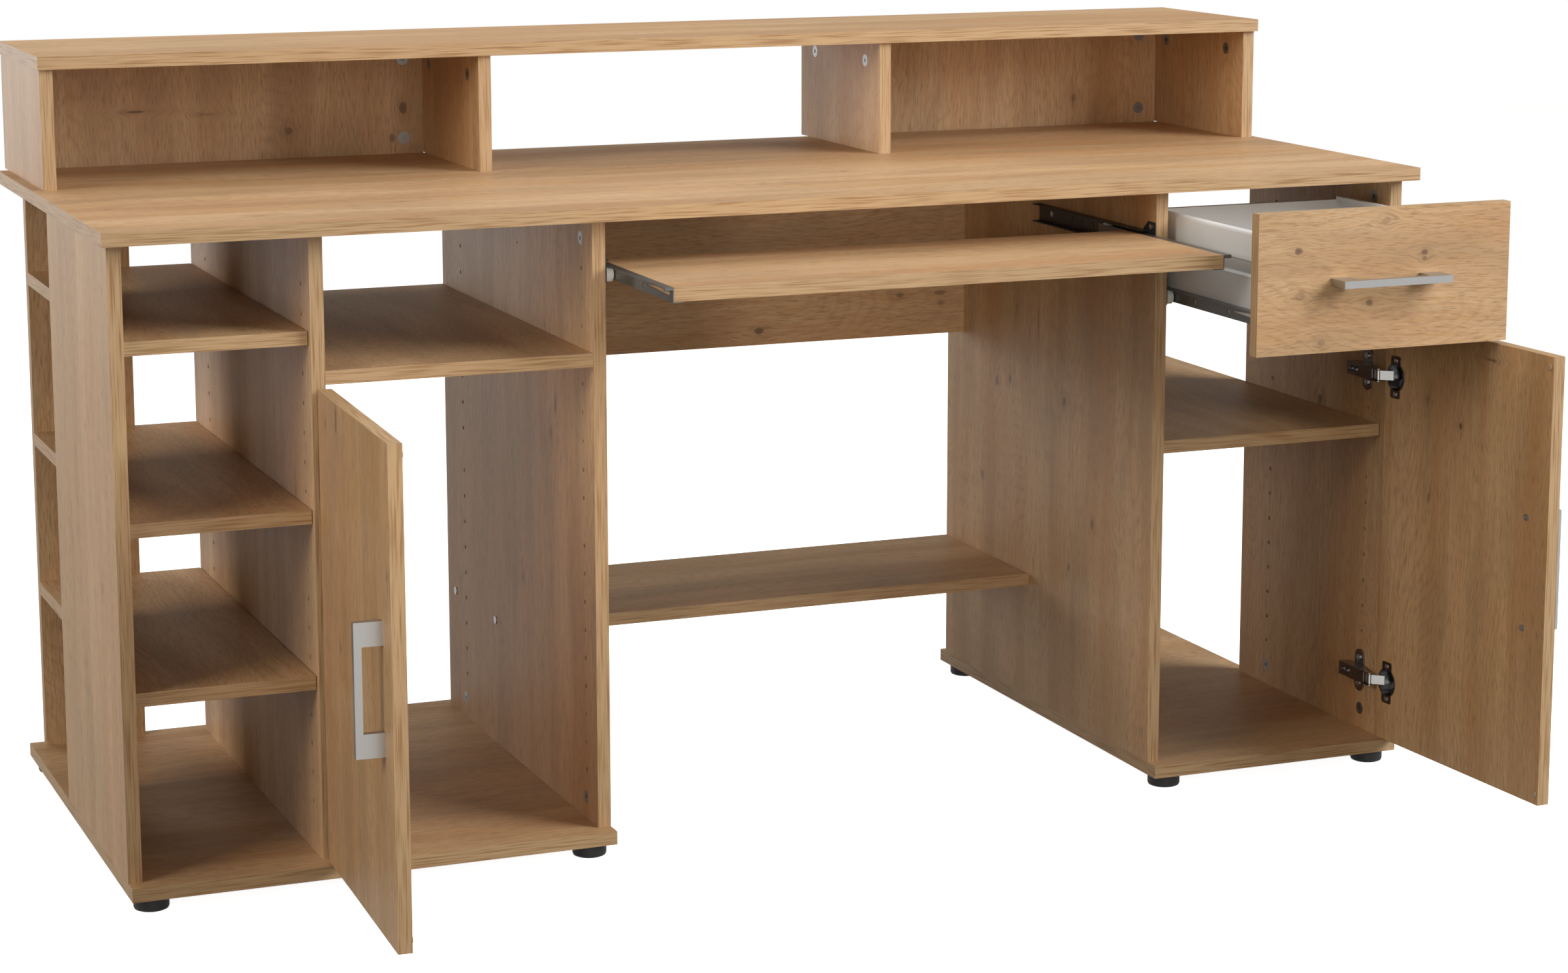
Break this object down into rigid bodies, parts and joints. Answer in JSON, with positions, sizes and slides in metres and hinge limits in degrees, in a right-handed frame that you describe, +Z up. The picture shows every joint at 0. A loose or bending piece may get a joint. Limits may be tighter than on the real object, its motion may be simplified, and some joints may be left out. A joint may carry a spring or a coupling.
{
  "type": "computer desk",
  "caption": "Computer desk with an open shelf bay, two door cabinets, a side drawer, a sliding keyboard tray, a footrest shelf and a low hutch.",
  "frame": {"origin": "on the floor under the middle of the bounding box, with both doors, the drawer and the tray open as in the picture", "axes": "+X runs right along the worktop, +Y runs back from the user, +Z runs up"},
  "size_m": [1.5822, 0.9422, 0.874],
  "materials": {
    "oak_board": "light oak decor, satin",
    "white_steel": "light grey-white powder coat, satin",
    "white_board": "plain pale melamine, satin",
    "black_steel": "black powder coat, satin",
    "grey_steel": "dark grey coat, satin",
    "black_nickel": "dark nickel plate, polished",
    "bright_steel": "nickel plate, polished",
    "satin_nickel": "satin nickel plate",
    "zinc_steel": "bright zinc plate",
    "cam_zinc": "bare zinc casting, matt",
    "beech_dowel": "bare beech, fluted",
    "black_plastic": "black moulded plastic, matt",
    "clear_bumper": "clear soft plastic",
    "white_nylon": "white nylon, matt"
  },
  "bodies": {
    "carcass": {"worktop": "oak_board", "left_base_plate": "oak_board", "right_base_plate": "oak_board", "left_side_panel": "oak_board", "left_divider": "oak_board", "left_knee_panel": "oak_board", "right_knee_panel": "oak_board", "right_side_panel": "oak_board", "left_rear_board": "oak_board", "right_rear_board": "oak_board", "left_top_shelf": "oak_board", "left_middle_shelf": "oak_board", "left_bottom_shelf": "oak_board", "cabinet_fixed_shelf": "oak_board", "cabinet_adjustable_shelf": "oak_board", "modesty_panel": "oak_board", "footrest_shelf": "oak_board", "hutch_top": "oak_board", "hutch_left_side": "oak_board", "hutch_left_divider": "oak_board", "hutch_right_divider": "oak_board", "hutch_right_side": "oak_board", "hutch_left_back": "oak_board", "hutch_right_back": "oak_board", "feet": "black_plastic", "shelf_pins": "zinc_steel", "cam_discs": "cam_zinc", "cam_bolts": "zinc_steel", "dowels": "beech_dowel", "hinge_plates": "black_nickel", "hinge_arms": "black_nickel", "drawer_cabinet_rails": "black_steel", "tray_cabinet_rails": "black_steel", "carcass_screws": "zinc_steel"},
    "left_door": {"left_door": "oak_board", "left_door_handle": "satin_nickel", "left_hinge_cups": "black_nickel", "left_door_screws": "zinc_steel", "left_door_bumpers": "clear_bumper"},
    "right_door": {"right_door": "oak_board", "right_door_handle": "satin_nickel", "right_hinge_cups": "black_nickel", "right_door_screws": "zinc_steel", "right_door_bumpers": "clear_bumper"},
    "left_links": {"left_hinge_links": "bright_steel"},
    "right_links": {"right_hinge_links": "bright_steel"},
    "drawer": {"drawer_front": "oak_board", "drawer_left_side": "white_steel", "drawer_right_side": "white_steel", "drawer_back": "white_steel", "drawer_bottom": "white_board", "drawer_handle": "satin_nickel", "drawer_runners": "grey_steel", "drawer_screws": "zinc_steel"},
    "tray": {"tray_board": "oak_board", "tray_runners": "grey_steel"},
    "drawer_front_roller_pair": {"drawer_front_rollers": "white_nylon"},
    "drawer_rear_roller_pair": {"drawer_rear_rollers": "white_nylon"},
    "tray_front_roller_pair": {"tray_front_rollers": "white_nylon"},
    "tray_rear_roller_pair": {"tray_rear_rollers": "white_nylon"}
  },
  "joints": [
    {"name": "left_door_hinge", "type": "hinge", "parent": "carcass", "child": "left_door", "pos_m": [-0.56312, -0.15491, 0], "axis": [0, 0, 1], "range_deg": [-7.4, 92.6]},
    {"name": "right_door_hinge", "type": "hinge", "parent": "carcass", "child": "right_door", "pos_m": [0.74489, -0.15491, 0], "axis": [0, 0, -1], "range_deg": [-7.5, 92.5]},
    {"name": "left_link_turn", "type": "hinge", "parent": "carcass", "child": "left_links", "pos_m": [-0.54212, -0.14891, 0], "axis": [0, 0, 1], "range_deg": [-36.2, 2.95]},
    {"name": "right_link_turn", "type": "hinge", "parent": "carcass", "child": "right_links", "pos_m": [0.72389, -0.14891, 0], "axis": [0, 0, -1], "range_deg": [-36.2, 2.95]},
    {"name": "drawer_slide", "type": "slide", "parent": "carcass", "child": "drawer", "axis": [0, -1, 0], "range_m": [-0.2126, 0.012]},
    {"name": "tray_slide", "type": "slide", "parent": "carcass", "child": "tray", "axis": [0, -1, 0], "range_m": [-0.17, 0.055]},
    {"name": "drawer_front_roller_spin", "type": "hinge", "parent": "carcass", "child": "drawer_front_roller_pair", "pos_m": [0.58939, -0.13281, 0.584], "axis": [1, 0, 0], "range_deg": [-1434, 82]},
    {"name": "drawer_rear_roller_spin", "type": "hinge", "parent": "drawer", "child": "drawer_rear_roller_pair", "pos_m": [0.58939, -0.06851, 0.5875], "axis": [1, 0, 0], "range_deg": [-82, 1434]},
    {"name": "tray_front_roller_spin", "type": "hinge", "parent": "carcass", "child": "tray_front_roller_pair", "pos_m": [0.09088, -0.13281, 0.648], "axis": [1, 0, 0], "range_deg": [-1147, 372]},
    {"name": "tray_rear_roller_spin", "type": "hinge", "parent": "tray", "child": "tray_rear_roller_pair", "pos_m": [0.09088, -0.03391, 0.6515], "axis": [1, 0, 0], "range_deg": [-372, 1147]}
  ],
  "couplings": [
    {"joint": "left_link_turn", "follows": "left_door_hinge", "ratio": -0.39},
    {"joint": "right_link_turn", "follows": "right_door_hinge", "ratio": -0.39},
    {"joint": "drawer_front_roller_spin", "follows": "drawer_slide", "rad_per_m": 117.65},
    {"joint": "drawer_rear_roller_spin", "follows": "drawer_slide", "rad_per_m": -117.65},
    {"joint": "tray_front_roller_spin", "follows": "tray_slide", "rad_per_m": 117.65},
    {"joint": "tray_rear_roller_spin", "follows": "tray_slide", "rad_per_m": -117.65}
  ]
}
